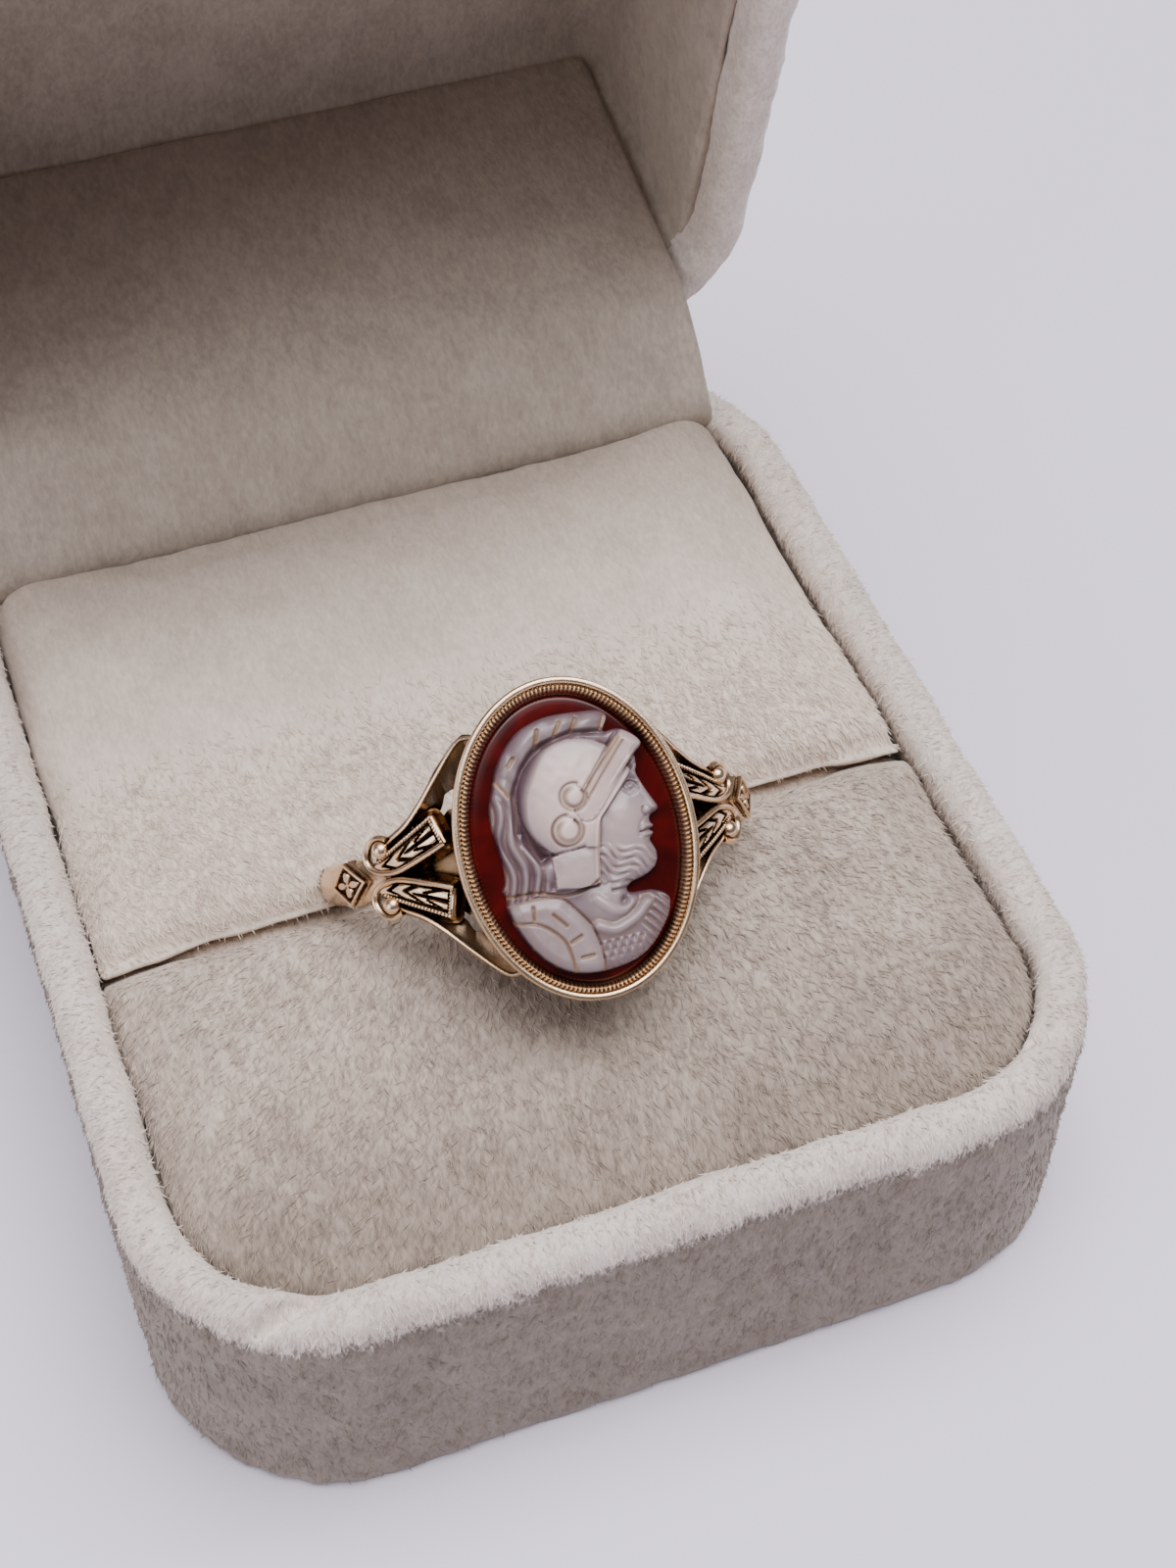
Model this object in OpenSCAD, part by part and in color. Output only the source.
// Cameo ring standing in the slot of an open velvet ring box.
// Millimetres, Z up. The origin is the middle of the box's underside, and the box opens to the front, -Y.

/* [Box] */
// Width of the box, side to side
box_w = 44; // [42:1:52]
// Depth of the box, front to back
box_d = 51; // [50:1:60]
// Height of the base
base_h = 14; // [13.5:0.5:18]
// Outer radius of the upright corners
corner_r = 9; // [7:0.5:11]
// Thickness of the covered walls
wall_t = 1.4; // [1.2:0.1:1.8]
// Thickness of the rolled rim
rim_w = 2.2; // [2:0.1:2.6]
// Thickness of the floor
floor_t = 1.8; // [1.4:0.1:2.4]
// Rounding of the lower outer edge
foot_r = 1; // [0.6:0.1:1.2]

/* [Lid] */
// Height of the lid when it is shut
lid_h = 18.4; // [18:0.2:24]
// Rounding of the lid's top edge
lid_round = 4; // [3:0.5:5]
// Angle by which the lid stands open
lid_open = 74.5; // [0:0.5:90]
// Gap between the two rims when the lid is shut
lid_gap = 0.3; // [0.2:0.1:0.6]
// Radius of the hidden hinge pin
pin_r = 0.4; // [0.3:0.02:0.4]
// Length of the hidden hinge pin
pin_len = 24; // [16:1:26]
// Thickness of the lining
lining_t = 0.7; // [0.5:0.1:0.8]
// Gap between the lining and the lid
lining_gap = 0.06; // [0.04:0.01:0.1]
// Distance of the hinge panel's face from the hinge axis
panel_off = 6; // [5:0.25:6]
// Thickness of the hinge panel and its flap
panel_t = 1; // [0.8:0.1:1.2]
// Depth of the lining's edge below the lid's rim
lining_drop = 2.3; // [2.2:0.1:3]

/* [Pads] */
// Depth of the pads' edge below the rim of the base
pad_drop = 2.3; // [2.2:0.1:3]
// Rise of the pads from their edge to their crown
pad_rise = 2.5; // [1.8:0.1:3.2]
// Distance over which a pad rounds down to the rim
pad_soft = 5; // [3:0.5:7]
// Distance over which the rear pad rounds down to the hinge cloth
pad_back = 1.5; // [1:0.25:3]
// Gap between a pad and the box wall
pad_gap = 0.3; // [0.2:0.1:0.5]
// Position of the slot, from the middle of the box
slot_y = -4.4; // [-6:0.2:-3]
// Gap between the two pads
slot_gap = 0.3; // [0.2:0.1:0.5]
// Depth to which the pads round down into the slot
slot_dip = 0.9; // [0.4:0.1:1.4]
// Width of that rounding
slot_soft = 1.8; // [1:0.2:3]
// Clearance round the band in the pads
band_clear = 0.15; // [0.1:0.05:0.3]

/* [Ring] */
// Inner diameter of the ring
finger_d = 17.8; // [16.6:0.2:18.6]
// Thickness of the band
band_t = 1.05; // [0.9:0.05:1.3]
// Width of the band
band_w = 1.9; // [1.6:0.1:2.2]
// Angle by which the ring leans to the front
ring_lean = 39; // [30:1:45]
// Angle by which the ring is turned in the slot
ring_turn = -4; // [-6:1:6]
// Sideways place of the ring
ring_x = 0.75; // [-2:0.25:2]
// Depth of the middle of the ring below the crown of the pads
ring_sink = 0.3; // [0:0.1:1]
// Angle from the stone to the middle of the lozenge
lozenge_at = 63.5; // [62:0.5:65]
// Length of the lozenge along the band
lozenge_l = 2.7; // [2:0.1:3]
// Height of the lozenge above the band
lozenge_h = 0.3; // [0.2:0.05:0.4]
// Angle from the stone at which the shoulder splits
split_at = 51; // [50:0.5:53]
// Angle from the stone at which the leaves end
leaf_end = 31; // [29:0.5:33]
// Width of a leaf at its broad end
leaf_w = 1.3; // [1:0.1:1.5]
// Thickness of a leaf
leaf_t = 0.75; // [0.6:0.05:0.9]
// Radius of the ball in a scroll
ball_r = 0.3; // [0.24:0.02:0.36]
// Radius of a scroll
scroll_r = 0.46; // [0.4:0.02:0.5]

/* [Setting] */
// Length of the setting, along the finger
set_l = 13.64; // [12.8:0.04:14.4]
// Width of the setting, across the finger
set_w = 10.28; // [9.6:0.04:11]
// Height of the setting's rim above the middle of the ring
set_top = 11.75; // [11.4:0.05:12.4]
// Thickness of the setting's wall
set_wall = 0.5; // [0.4:0.05:0.6]
// Inward slope of the wall towards its foot
set_taper = 0.12; // [0:0.02:0.2]
// Width of the ledge that carries the stone
ledge_w = 0.75; // [0.5:0.05:1]
// Width of the beaded edge over the stone
bead_w = 0.36; // [0.3:0.02:0.42]

/* [Cameo] */
// Thickness of the red layer
ground_t = 0.95; // [0.8:0.05:1.1]
// Width of the polished slope at the stone's edge
ground_bevel = 0.55; // [0.4:0.05:0.8]
// Height of the polished slope
ground_drop = 0.3; // [0.2:0.05:0.4]
// Clearance between the stone and its setting
stone_gap = 0.06; // [0.04:0.01:0.1]
// Height of the white relief above the red layer
relief_h = 1.25; // [0.9:0.05:1.5]
// Rows of the relief between two rows of its outline table
relief_rows = 2; // [1:1:2]
// Points of the relief across a row
relief_cols = 32; // [24:2:34]

/* [Hidden] */
$fn = 48;
cloth = "#cfc8bf";
cloth_in = "#b5aca2";
gold = "#b98a5e";
red_stone = "#5a0f0c";
white_stone = "#e4dcda";
steel = "#9a9da0";
eps = 0.02;
far = 60;
// Hinge axis, and half the length of the hinge panel between the rounded corners of the lid.
hinge_y = box_d/2;
hinge_z = base_h + lid_gap/2;
panel_half = box_w/2 - corner_r + sqrt(pow(corner_r - rim_w, 2) - pow(corner_r - panel_off, 2));
// Angle by which the flap runs on below the hinge, and its gap to the panel's foot.
flap_tuck = 30;
flap_start = 1;
rim_r = rim_w/2;
finger_r = finger_d/2;
band_r = finger_r + band_t;
pad_low = base_h - pad_drop;
ring_z = pad_low + pad_rise - ring_sink;
// Half axes of the oval setting, the bore cut under it, its foot and the two faces of the red layer.
set_a = set_l/2;
set_b = set_w/2;
cut_r = finger_r + 0.3*band_t;
set_foot = sqrt(cut_r*cut_r - set_b*set_b) - set_wall;
ledge_z = set_top - bead_w - ground_t - ground_drop/3;
ground_z = ledge_z + ground_t;
stone_in = set_wall + stone_gap;
relief_u = set_a - set_wall - bead_w/3;

// Smooth step from 0 to 1 over the span from a to b.
function ramp(t, a, b) = let (s = min(max((t - a)/(b - a), 0), 1)) s*s*(3 - 2*s);
// A bump of height 1 at distance 0 that has died away at distance w.
function bump(d, w) = let (s = min(abs(d)/w, 1)) (1 - s*s)*(1 - s*s);
// Distance from the point p to the straight line from a to b.
function seg(p, a, b) =
    let (t = min(max((p - a)*(b - a)/((b - a)*(b - a)), 0), 1)) norm(p - a - t*(b - a));
// Least distance from the point p to a line through several points.
function path(p, pts) = min([for (i = [0:len(pts) - 2]) seg(p, pts[i], pts[i + 1])]);

// The box: a section is drawn with X inwards from the outer face and swept round the rounded plan.
module plan(inset) {
    square([box_w - 2*inset, box_d - 2*corner_r], center = true);
    square([box_w - 2*corner_r, box_d - 2*inset], center = true);
    for (x = [-1, 1], y = [-1, 1])
        translate([x*(box_w/2 - corner_r), y*(box_d/2 - corner_r)]) circle(corner_r - inset);
}
module round_plan(inset, h) {
    linear_extrude(h) plan(inset);
}
module swept_round() {
    for (q = [0:3]) {
        sx = (q == 0 || q == 3) ? 1 : -1;
        sy = (q < 2) ? 1 : -1;
        side = (q % 2 == 0) ? box_d - 2*corner_r : box_w - 2*corner_r;
        reach = (q % 2 == 0) ? box_w/2 : box_d/2;
        translate([sx*(box_w/2 - corner_r), sy*(box_d/2 - corner_r), 0])
            rotate([0, 0, 90*q]) rotate_extrude(angle = 90) translate([corner_r, 0]) mirror([1, 0]) children();
        rotate([0, 0, 90*q]) translate([reach, side/2, 0]) rotate([90, 0, 0])
            linear_extrude(side) mirror([1, 0]) children();
    }
}
module base_section() {
    translate([rim_r, base_h - rim_r]) circle(rim_r);
    translate([0, foot_r]) square([wall_t, base_h - rim_r - foot_r]);
    translate([foot_r, foot_r]) circle(foot_r);
    translate([foot_r, 0]) square([wall_t, floor_t]);
}
module box_base() {
    color(cloth) {
        swept_round() base_section();
        round_plan(foot_r + wall_t/2, floor_t);
    }
}
// The lid is drawn shut, with its rim at Z 0, and its top edge is rounded.
module lid_section() {
    translate([rim_r, rim_r]) circle(rim_r);
    lid_layer(0, wall_t, rim_r);
}
// Section of a layer of the lid: its inset from the outer face, its thickness and the height of its lower edge.
module lid_layer(inset, t, low) {
    translate([inset, low]) square([t, lid_h - lid_round - low]);
    translate([0, lid_h - lid_round]) intersection() {
        square([lid_round, lid_round]);
        difference() {
            translate([lid_round, 0]) circle(lid_round - inset);
            translate([lid_round, 0]) circle(lid_round - inset - t);
        }
    }
}
module lid_place() {
    translate([0, hinge_y, hinge_z]) rotate([-lid_open, 0, 0]) translate([0, -hinge_y, lid_gap/2]) children();
}
module box_lid() {
    color(cloth) lid_place() {
        swept_round() lid_section();
        translate([0, 0, lid_h - wall_t]) round_plan(lid_round - eps, wall_t);
    }
}
// The lining is a tray inside the lid, with a flat panel in front of the hinge.
lining_in = wall_t + lining_gap;
module lid_lining() {
    color(cloth_in) lid_place() {
        difference() {
            union() {
                swept_round() lid_layer(lining_in, lining_t, lining_drop);
                translate([0, 0, lid_h - lining_in - lining_t]) round_plan(lid_round - eps, lining_t);
            }
            translate([-far/2, hinge_y - panel_off + panel_t, -far/2]) cube(far);
        }
        hinge_panel(lining_in + lining_t/2);
    }
}
// The panel spans the hollow of the lid up to the inset, and stays inside the rolled rim at its foot.
module hinge_panel(inset) {
    intersection() {
        translate([-far/2, hinge_y - panel_off, lining_gap]) cube([far, panel_t, far]);
        union() {
            round_plan(rim_w + lining_gap, lid_h - lid_round);
            translate([0, 0, lining_drop]) round_plan(inset, lid_h - lid_round - lining_drop);
            swept_round() translate([lid_round, lid_h - lid_round]) intersection() {
                circle(lid_round - inset);
                translate([-lid_round, -eps]) square(lid_round);
            }
            round_plan(lid_round - eps, lid_h - inset);
        }
    }
}
// Cloth that runs from the hinge panel down behind the rear pad, round the hinge axis. It narrows between the
// rounded corners of the base.
module hinge_flap() {
    color(cloth_in) intersection() {
        translate([-panel_half, hinge_y, hinge_z]) rotate([90, 0, 90])
            rotate([0, 0, 180 - lid_open + flap_start]) linear_extrude(2*panel_half) flap_section();
        union() {
            translate([-far/2, 0, base_h]) cube(far);
            round_plan(rim_w + pad_gap, base_h + eps);
        }
    }
}
module flap_section() {
    sweep_to = lid_open + flap_tuck - flap_start;
    intersection() {
        difference() {
            circle(panel_off);
            circle(panel_off - panel_t);
        }
        polygon([[0, 0], for (i = [0:4]) far*[cos(sweep_to*i/4), sin(sweep_to*i/4)]]);
    }
}
module hinge_pin() {
    color(steel) translate([0, hinge_y, hinge_z]) rotate([0, 90, 0]) cylinder(r = pin_r, h = pin_len, center = true);
}

// The pads: a crowned block over the rounded plan, split along the leaning plane of the ring.
pad_edge = wall_t + pad_gap;
pad_cols = 18;
pad_rows = 12;
// Half width of the pad's plan at depth y.
function pad_half(y) =
    let (r = corner_r - pad_edge, over = max(abs(y) - (box_d/2 - corner_r), 0))
    box_w/2 - corner_r + sqrt(max(r*r - over*over, 0));
// Distance inwards from the pad's outline, taken from the sides and the front or rear edge. The rear edge is
// firmer, so its distance counts for more.
function pad_inside(x, y, end_y) =
    let (cx = box_w/2 - corner_r, cy = abs(end_y) - corner_r + pad_edge, r = corner_r - pad_edge)
    end_y > 0
        ? min(pad_half(y) - abs(x), (end_y - y)*pad_soft/pad_back)
        : (abs(x) > cx && -y > cy)
            ? r - norm([abs(x) - cx, -y - cy])
            : min(box_w/2 - pad_edge - abs(x), y - end_y);
function pad_z(x, y, end_y) =
    let (d = max(pad_inside(x, y, end_y), 0), s = min(d/pad_soft, 1), k = min(abs(y - slot_y)/slot_soft, 1))
    pad_low + pad_rise*(1 - pow(1 - s, 2.2)) - slot_dip*pow(1 - k, 2)*min(1, 2*s);
// Shares of a span that stand closer together at its ends.
function eased(i, n) = (1 - cos(180*i/n))/2;
module crowned_block(end_y, past) {
    from = end_y;
    to = slot_y + past;
    top = [for (j = [0:pad_rows]) let (y = from + (to - from)*eased(j, pad_rows))
        for (i = [0:pad_cols]) let (x = pad_half(y)*(2*eased(i, pad_cols) - 1)) [x, y, pad_z(x, y, end_y)]];
    low = [for (p = top) [p[0], p[1], floor_t + eps]];
    n = pad_cols + 1;
    m = len(top);
    flip = from > to;
    faces = [
        for (j = [0:pad_rows - 1], i = [0:pad_cols - 1]) let (a = j*n + i)
            each [[a, a + n, a + n + 1], [a, a + n + 1, a + 1],
                  [m + a, m + a + n + 1, m + a + n], [m + a, m + a + 1, m + a + n + 1]],
        for (i = [0:pad_cols - 1]) each [[i, i + 1, m + i + 1], [i, m + i + 1, m + i]],
        for (i = [0:pad_cols - 1]) let (a = pad_rows*n + i) each [[a, m + a + 1, a + 1], [a, m + a, m + a + 1]],
        for (j = [0:pad_rows - 1]) let (a = j*n) each [[a, m + a + n, a + n], [a, m + a, m + a + n]],
        for (j = [0:pad_rows - 1]) let (a = j*n + pad_cols)
            each [[a, a + n, m + a + n], [a, m + a + n, m + a]]];
    polyhedron(points = concat(top, low), faces = flip ? [for (f = faces) [f[2], f[1], f[0]]] : faces);
}
module ring_place() {
    translate([ring_x, slot_y, ring_z]) rotate([0, 0, ring_turn]) rotate([ring_lean, 0, 0]) children();
}
// The half of space on one side of the slot, leaning as the ring does.
module slot_side(side) {
    translate([0, slot_y, ring_z]) rotate([ring_lean, 0, 0])
        translate([-far/2, side > 0 ? -slot_gap/2 : slot_gap/2 - far, -far/2]) cube(far);
}
module band_groove() {
    ring_place() rotate([90, 0, 0]) difference() {
        cylinder(r = band_r + band_clear, h = band_w + 2*band_clear, center = true);
        cylinder(r = finger_r - band_clear, h = far, center = true);
    }
}
module pad_front() {
    color(cloth) difference() {
        crowned_block(-(box_d/2 - pad_edge), 12);
        slot_side(1);
        band_groove();
    }
}
module pad_rear() {
    color(cloth) difference() {
        crowned_block(hinge_y - panel_off - pad_gap, -2);
        slot_side(-1);
        band_groove();
    }
}

// The ring: X across the finger, Y along it, Z up to the stone.
// A place on the ring, from its angle to the stone, its place along the finger and its radius.
function on_ring(a, y, r) = [r*sin(a), y, r*cos(a)];
// A bar along the ring through stations of angle, middle, half width, inner radius and outer radius.
module ring_bar(st, side) {
    pts = [for (s = st) each [on_ring(side*s[0], s[1] - s[2], s[3]), on_ring(side*s[0], s[1] + s[2], s[3]),
                              on_ring(side*s[0], s[1] + s[2], s[4]), on_ring(side*s[0], s[1] - s[2], s[4])]];
    n = len(st);
    faces = [
        [0, 1, 2], [0, 2, 3],
        for (k = [0:n - 2], e = [0:3]) let (a = 4*k + e, b = 4*k + (e + 1)%4)
            each [[a, a + 4, b + 4], [a, b + 4, b]],
        [4*n - 4, 4*n - 2, 4*n - 3], [4*n - 4, 4*n - 1, 4*n - 2]];
    rising = side*(st[n - 1][0] - st[0][0]) > 0;
    polyhedron(points = pts, faces = rising ? faces : [for (f = faces) [f[2], f[1], f[0]]]);
}
module band() {
    bow_h = 0.75*band_t;
    bow_r = (pow(band_w/2, 2) + bow_h*bow_h)/(2*bow_h);
    rotate([90, 0, 0]) rotate([0, 0, 90 + lozenge_at + 8]) rotate_extrude(angle = 344 - 2*lozenge_at, $fn = 72)
        intersection() {
            translate([finger_r, -band_w/2]) square([band_t, band_w]);
            translate([band_r - bow_r, 0]) circle(bow_r, $fn = 28);
        }
}
// Half widths and outer radii of the shoulder between the band and the split, as shares of the band's.
NECK = [[9, 0.96, 0.8], [4, 1.02, 0.9], [0, 1.04, 1], [-5, 0.92, 1], [-9, 0.72, 0.95], [-13.5, 0.84, 0.8]];
module neck(side) {
    ring_bar([for (s = NECK) [lozenge_at + s[0], 0, s[1]*band_w/2, finger_r, finger_r + band_t*s[2]]], side);
}
module lozenge(side) {
    half = lozenge_l/2/(band_r + lozenge_h)*180/PI;
    top_r = band_r + lozenge_h;
    for (s = [[1, 0], [0.55, -0.16]])
        ring_bar([for (k = [-1, -0.5, 0, 0.5, 1])
            [lozenge_at + k*half*s[0], 0, (1 - abs(k))*band_w/2*s[0] + eps, finger_r + band_t/3, top_r + s[1]*lozenge_h]],
            side);
}
// Places of a leaf: share of the way from the split to its end, middle along the finger as a share of the
// band's width, and share of the leaf's width.
LEAF = [[0, 0.26, 0.35], [0.2, 0.305, 0.75], [0.45, 0.45, 0.85], [0.7, 0.63, 0.92], [1, 0.905, 1]];
// Half width and height of a leaf's raised rims, and the step that keeps their sides apart from the leaf's.
leaf_rim = 0.1;
leaf_rim_h = 0.14;
leaf_step = 0.1;
module leaf(side, way) {
    run = split_at - leaf_end;
    top_r = band_r + leaf_step;
    st = [for (s = LEAF) [split_at - s[0]*run, way*s[1]*band_w, s[2]*leaf_w/2, top_r - leaf_t, top_r]];
    ring_bar(st, side);
    for (e = [-1, 1])
        ring_bar([for (s = st) [s[0] + leaf_step, s[1] + e*(s[2] - 0.8*leaf_rim), leaf_rim,
                                s[3] + leaf_step, s[4] + leaf_rim_h]], side);
    ring_bar([for (s = st) [s[0] + 2*leaf_step, s[1], s[2]*0.22, s[3] + 1.2*leaf_step, s[4] + 0.7*leaf_rim_h]], side);
}
// Places of the outer blade: angle from the stone, as a share of the split's, and place as a share of the set's.
BLADE = [[0.98, 0.13], [0.9, 0.2], [0.8, 0.275], [0.7, 0.355], [0.62, 0.435], [0.54, 0.56], [0.45, 0.74]];
blade_half = 0.2;
module blade(side, way) {
    ring_bar([for (s = BLADE) [split_at*s[0], way*s[1]*set_a, blade_half, finger_r, band_r - leaf_step]], side);
}
// A scroll and its ball, curled outwards from the foot of a leaf: turn by turn, share of radius and of wire.
CURL = [[-150, 1, 0.8], [-105, 1.02, 0.9], [-60, 1, 0.95], [-15, 0.95, 0.95], [30, 0.85, 0.9], [75, 0.65, 0.85]];
wire_r = 0.62*ball_r;
scroll_foot = 0.65*band_t;
module curl_bead(c) {
    rotate([0, 0, c[0]]) translate([scroll_r*c[1], 0, 0]) sphere(wire_r*c[2], $fn = 8);
}
module scroll(side, way) {
    rotate([0, side*(split_at - 2.2), 0]) translate([0, way*(0.44*band_w + scroll_r), band_r - leaf_step])
        mirror([side > 0 ? 0 : 1, 0, 0]) mirror([0, way > 0 ? 0 : 1, 0]) {
            for (k = [0:len(CURL) - 2]) hull() {
                curl_bead(CURL[k]);
                curl_bead(CURL[k + 1]);
            }
            translate([0, 0, ball_r*0.35]) sphere(ball_r, $fn = 12);
            translate([0, 0, -scroll_foot]) cylinder(r = scroll_r, h = scroll_foot + ball_r*0.25, $fn = 14);
        }
}
module shoulder(side) {
    neck(side);
    lozenge(side);
    for (way = [-1, 1]) {
        leaf(side, way);
        blade(side, way);
        scroll(side, way);
    }
}
// The setting's wall: inward offset and height of its section, swept round the oval. From the foot it goes up
// the outside, over the plain rim and the beaded edge, and down to the ledge and the foot again.
set_facets = 48;
ledge_t = 0.53*ledge_w;
SET_SECTION = [[set_taper, set_foot], [0, set_top - 0.67*bead_w], [0.1*set_wall, set_top - 0.22*bead_w],
    [0.28*set_wall, set_top - 0.03*bead_w], [0.52*set_wall, set_top - 0.08*bead_w],
    [0.6*set_wall, set_top - 0.28*bead_w], [0.75*set_wall, set_top - 0.06*bead_w],
    [set_wall + 0.15*bead_w, set_top - 0.06*bead_w], [set_wall + bead_w/3, set_top - bead_w/3],
    [set_wall + bead_w/3, set_top - 0.72*bead_w], [set_wall, set_top - bead_w], [set_wall, ledge_z],
    [set_wall + ledge_w, ledge_z], [set_wall + ledge_w, ledge_z - ledge_t],
    [set_wall + set_taper + 0.13*ledge_w, ledge_z - 2*ledge_t], [set_wall + set_taper, set_foot]];
// A point of the oval moved inwards along its own normal.
function oval(t, inset) =
    let (nx = cos(t)/set_b, ny = sin(t)/set_a, l = norm([nx, ny]))
    [set_b*cos(t) - inset*nx/l, set_a*sin(t) - inset*ny/l];
module setting() {
    k = len(SET_SECTION);
    pts = [for (i = [0:set_facets - 1], s = SET_SECTION) let (p = oval(360*i/set_facets, s[0])) [p[0], p[1], s[1]]];
    faces = [for (i = [0:set_facets - 1], j = [0:k - 1])
        let (a = i*k + j, b = i*k + (j + 1)%k, c = ((i + 1)%set_facets)*k)
        each [[a, b, c + (j + 1)%k], [a, c + (j + 1)%k, c + j]]];
    difference() {
        polyhedron(points = pts, faces = faces);
        rotate([90, 0, 0]) cylinder(r = cut_r, h = far, center = true);
    }
}
module ring_mount() {
    color(gold) ring_place() {
        band();
        for (side = [-1, 1]) shoulder(side);
        setting();
    }
}

// The stone: an oval red layer with a sloped, polished edge.
GROUND = [[stone_in, ledge_z], [stone_in, ground_z - ground_drop], [stone_in + 0.4*ground_bevel, ground_z - 0.4*ground_drop],
    [stone_in + ground_bevel, ground_z]];
module cameo_ground() {
    k = len(GROUND);
    n = set_facets;
    pts = [for (s = GROUND, i = [0:n - 1]) let (p = oval(360*i/n, s[0])) [p[0], p[1], s[1]]];
    faces = [
        for (j = [0:k - 2], i = [0:n - 1]) let (a = j*n + i, b = j*n + (i + 1)%n)
            each [[a, a + n, b + n], [a, b + n, b]],
        [for (i = [0:n - 1]) i],
        [for (i = [0:n - 1]) k*n - 1 - i]];
    color(red_stone) ring_place() polyhedron(points = pts, faces = faces);
}

// The relief: rows of height, left edge and right edge, as shares of the stone's half length.
OUTLINE = [[-0.915, -0.10, 0.02], [-0.90, -0.17, 0.14], [-0.86, -0.27, 0.27], [-0.79, -0.36, 0.38], [-0.71, -0.43, 0.46],
    [-0.63, -0.48, 0.52], [-0.56, -0.51, 0.545], [-0.51, -0.53, 0.54], [-0.47, -0.54, 0.50], [-0.455, -0.54, 0.40],
    [-0.44, -0.545, 0.27], [-0.40, -0.55, 0.25], [-0.365, -0.555, 0.255], [-0.345, -0.555, 0.33], [-0.335, -0.555, 0.44],
    [-0.31, -0.555, 0.50], [-0.27, -0.56, 0.515], [-0.22, -0.555, 0.50], [-0.185, -0.54, 0.475], [-0.16, -0.535, 0.50],
    [-0.13, -0.53, 0.51], [-0.10, -0.53, 0.49], [-0.075, -0.525, 0.515], [-0.045, -0.525, 0.515], [-0.01, -0.525, 0.50],
    [0.02, -0.525, 0.535], [0.05, -0.53, 0.595], [0.08, -0.53, 0.60], [0.13, -0.54, 0.575], [0.20, -0.55, 0.54],
    [0.27, -0.545, 0.505], [0.33, -0.53, 0.485], [0.39, -0.505, 0.485], [0.43, -0.49, 0.50], [0.455, -0.48, 0.53],
    [0.49, -0.46, 0.56], [0.55, -0.435, 0.565], [0.60, -0.405, 0.55], [0.645, -0.375, 0.505], [0.655, -0.37, 0.43],
    [0.665, -0.36, 0.34], [0.69, -0.345, 0.325], [0.72, -0.315, 0.37], [0.745, -0.285, 0.385], [0.78, -0.23, 0.36],
    [0.805, -0.18, 0.30], [0.825, -0.11, 0.17], [0.832, -0.03, 0.05]];
DOME_AT = [0.055, 0.26];
dome_r = 0.40;
SHIELD_AT = [-0.42, -0.74];
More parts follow.
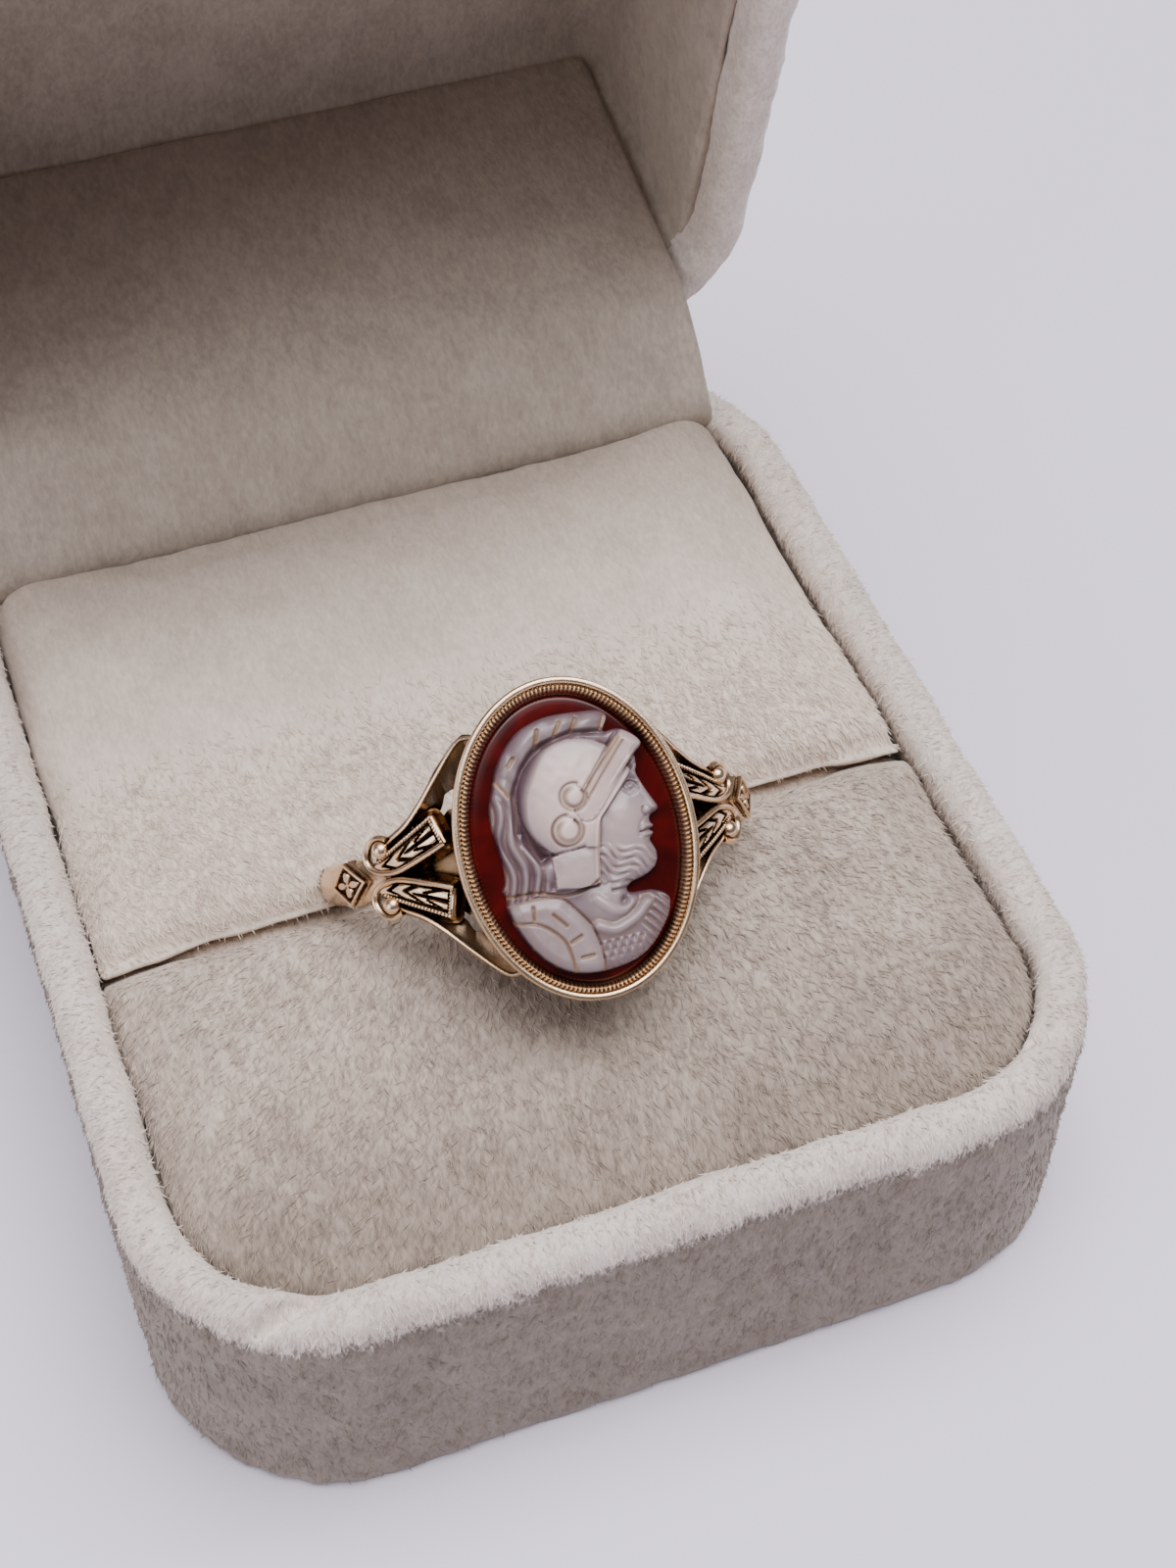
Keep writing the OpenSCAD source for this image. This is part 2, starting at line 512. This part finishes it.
// Height of the relief at p, as a share of its full height.
function relief_at(p, edge) =
    let (
        d = norm(p - DOME_AT),
        a = atan2(p[1] - DOME_AT[1], p[0] - DOME_AT[0]),
        s = norm(p - SHIELD_AT),
        bust = ramp(-p[1], 0.3, 0.38),
        back = ramp(-p[0], 0.2, 0.34)*(1 - bust),
        dome = d < dome_r ? 0.52 + 0.46*sqrt(1 - pow(d/dome_r, 2)) : 0,
        crest = 0.5 + 0.07*cos(p[1] > 0.3 ? a*26 : 1200*(p[0] + 0.08*sin(420*p[1]))),
        visor = bump(seg(p, [0.10, 0.15], [0.47, 0.54]), 0.13)*0.32,
        curl = bump(norm(p - [0.02, 0.27]), 0.10)*0.2 + bump(norm(p - [-0.06, 0.08]), 0.12)*0.16,
        guard = bump(seg(p, [0.07, 0.1], [0.03, -0.26]), 0.14)*0.1,
        cheek = 0.56 + 0.3*bump(norm(p - [0.22, 0.02]), 0.42),
        socket = 0.14*bump(norm(p - [0.385, 0.255]), 0.085),
        eye = 0.13*bump(norm(p - [0.375, 0.245]), 0.045),
        wing = 0.1*bump(norm(p - [0.49, 0.05]), 0.055),
        lips = 0.08*bump(norm(p - [0.47, -0.06]), 0.06) - 0.1*bump(seg(p, [0.4, -0.1], [0.52, -0.1]), 0.018),
        beard = 0.05*ramp(-p[1], 0.02, 0.1)*sin(2600*p[0] + 900*p[1])*sin(2100*p[1]),
        face = p[0] > 0.1 && bust < 1 ? cheek - socket + eye + wing + lips + beard : 0,
        shield = s < 0.43 ? 0.62 + 0.12*sqrt(1 - pow(s/0.43, 2)) + 0.12*ramp(s, 0.27, 0.3) : 0,
        dashes = 0.09*ramp(cos(a_mark(p)*9), 0.6, 0.9)*bump(s - 0.355, 0.05),
        chest = 0.42,
        collar = bump(path(p, [[-0.02, -0.66], [0.14, -0.66], [0.28, -0.6], [0.38, -0.52]]), 0.07)*0.24,
        strips = 0.06*cos(2600*(p[1] + 0.75*p[0]))*ramp(p[0], 0.3, 0.36)*ramp(-p[1], 0.44, 0.5),
        torso = max(chest + collar + strips, shield - dashes),
        head = max(dome + curl, p[0] < 0.1 ? (d > dome_r ? crest - 0.2*bump(d - dome_r, 0.05) : 0) : 0,
                   back*crest, (1 - back)*face, (1 - back)*(1 - bust)*0.52 + guard) + visor)
    (head*(1 - bust) + torso*bust)*(0.55 + 0.45*sqrt(min(edge/0.06, 1)));
function a_mark(p) = atan2(p[1] - SHIELD_AT[1], p[0] - SHIELD_AT[0]);
module cameo_relief() {
    rows = [for (i = [0:len(OUTLINE) - 2], k = [0:relief_rows - 1])
                let (t = k/relief_rows) OUTLINE[i]*(1 - t) + OUTLINE[i + 1]*t, OUTLINE[len(OUTLINE) - 1]];
    n = relief_cols + 1;
    m = len(rows);
    top = [for (r = rows, i = [0:relief_cols])
        let (x = r[1] + (r[2] - r[1])*i/relief_cols, edge = max(min(x - r[1], r[2] - x), 0))
        [x*relief_u, r[0]*relief_u, ground_z + relief_h*relief_at([x, r[0]], edge)]];
    low = [for (r = rows) each [[r[1]*relief_u, r[0]*relief_u, ground_z], [r[2]*relief_u, r[0]*relief_u, ground_z]]];
    b = len(top);
    faces = [
        for (j = [0:m - 2], i = [0:relief_cols - 1]) let (a = j*n + i) each [[a, a + n, a + n + 1], [a, a + n + 1, a + 1]],
        for (j = [0:m - 2]) each [[b + 2*j, b + 2*j + 1, b + 2*j + 3], [b + 2*j, b + 2*j + 3, b + 2*j + 2]],
        for (j = [0:m - 2]) each [[j*n, b + 2*j, b + 2*j + 2], [j*n, b + 2*j + 2, j*n + n]],
        for (j = [0:m - 2]) let (a = j*n + relief_cols)
            each [[a, a + n, b + 2*j + 3], [a, b + 2*j + 3, b + 2*j + 1]],
        for (i = [0:relief_cols - 1]) [i, i + 1, b],
        [relief_cols, b + 1, b],
        for (i = [0:relief_cols - 1]) let (a = (m - 1)*n + i) [a + 1, a, b + 2*m - 2],
        [(m - 1)*n + relief_cols, b + 2*m - 2, b + 2*m - 1]];
    color(white_stone) ring_place() polyhedron(points = concat(top, low), faces = faces);
}

box_base();
pad_front();
pad_rear();
ring_mount();
cameo_ground();
cameo_relief();
hinge_pin();
hinge_flap();
box_lid();
lid_lining();
